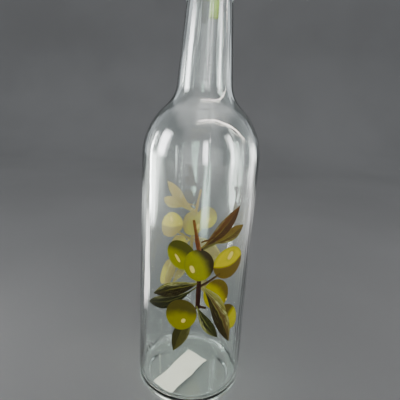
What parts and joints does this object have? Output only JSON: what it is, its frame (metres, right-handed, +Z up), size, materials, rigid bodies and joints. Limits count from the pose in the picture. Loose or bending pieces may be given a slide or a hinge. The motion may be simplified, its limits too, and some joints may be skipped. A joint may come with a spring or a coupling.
{
  "type": "oil bottle",
  "caption": "Empty clear glass oil bottle with a tapering neck, threaded finish, plug-in lime pourer, printed olive sprigs and a blank paper label under the base.",
  "frame": {"origin": "middle of the bottle's foot, on the surface it stands on", "axes": "+Z up along the bottle's axis; -Y towards the front sprig; -X the way the spout leans"},
  "size_m": [0.0764, 0.0774, 0.3307],
  "materials": {
    "glass": "clear, polished, faint green at the edges",
    "pourer_plastic": "moulded lime green",
    "print": "olive, brown and dark green print",
    "label_paper": "matt white, blank"
  },
  "bodies": {
    "root": {"glass_bottle": "glass", "pourer": "pourer_plastic", "sprig_front": "print", "sprig_back": "print", "base_label": "label_paper"}
  },
  "joints": []
}
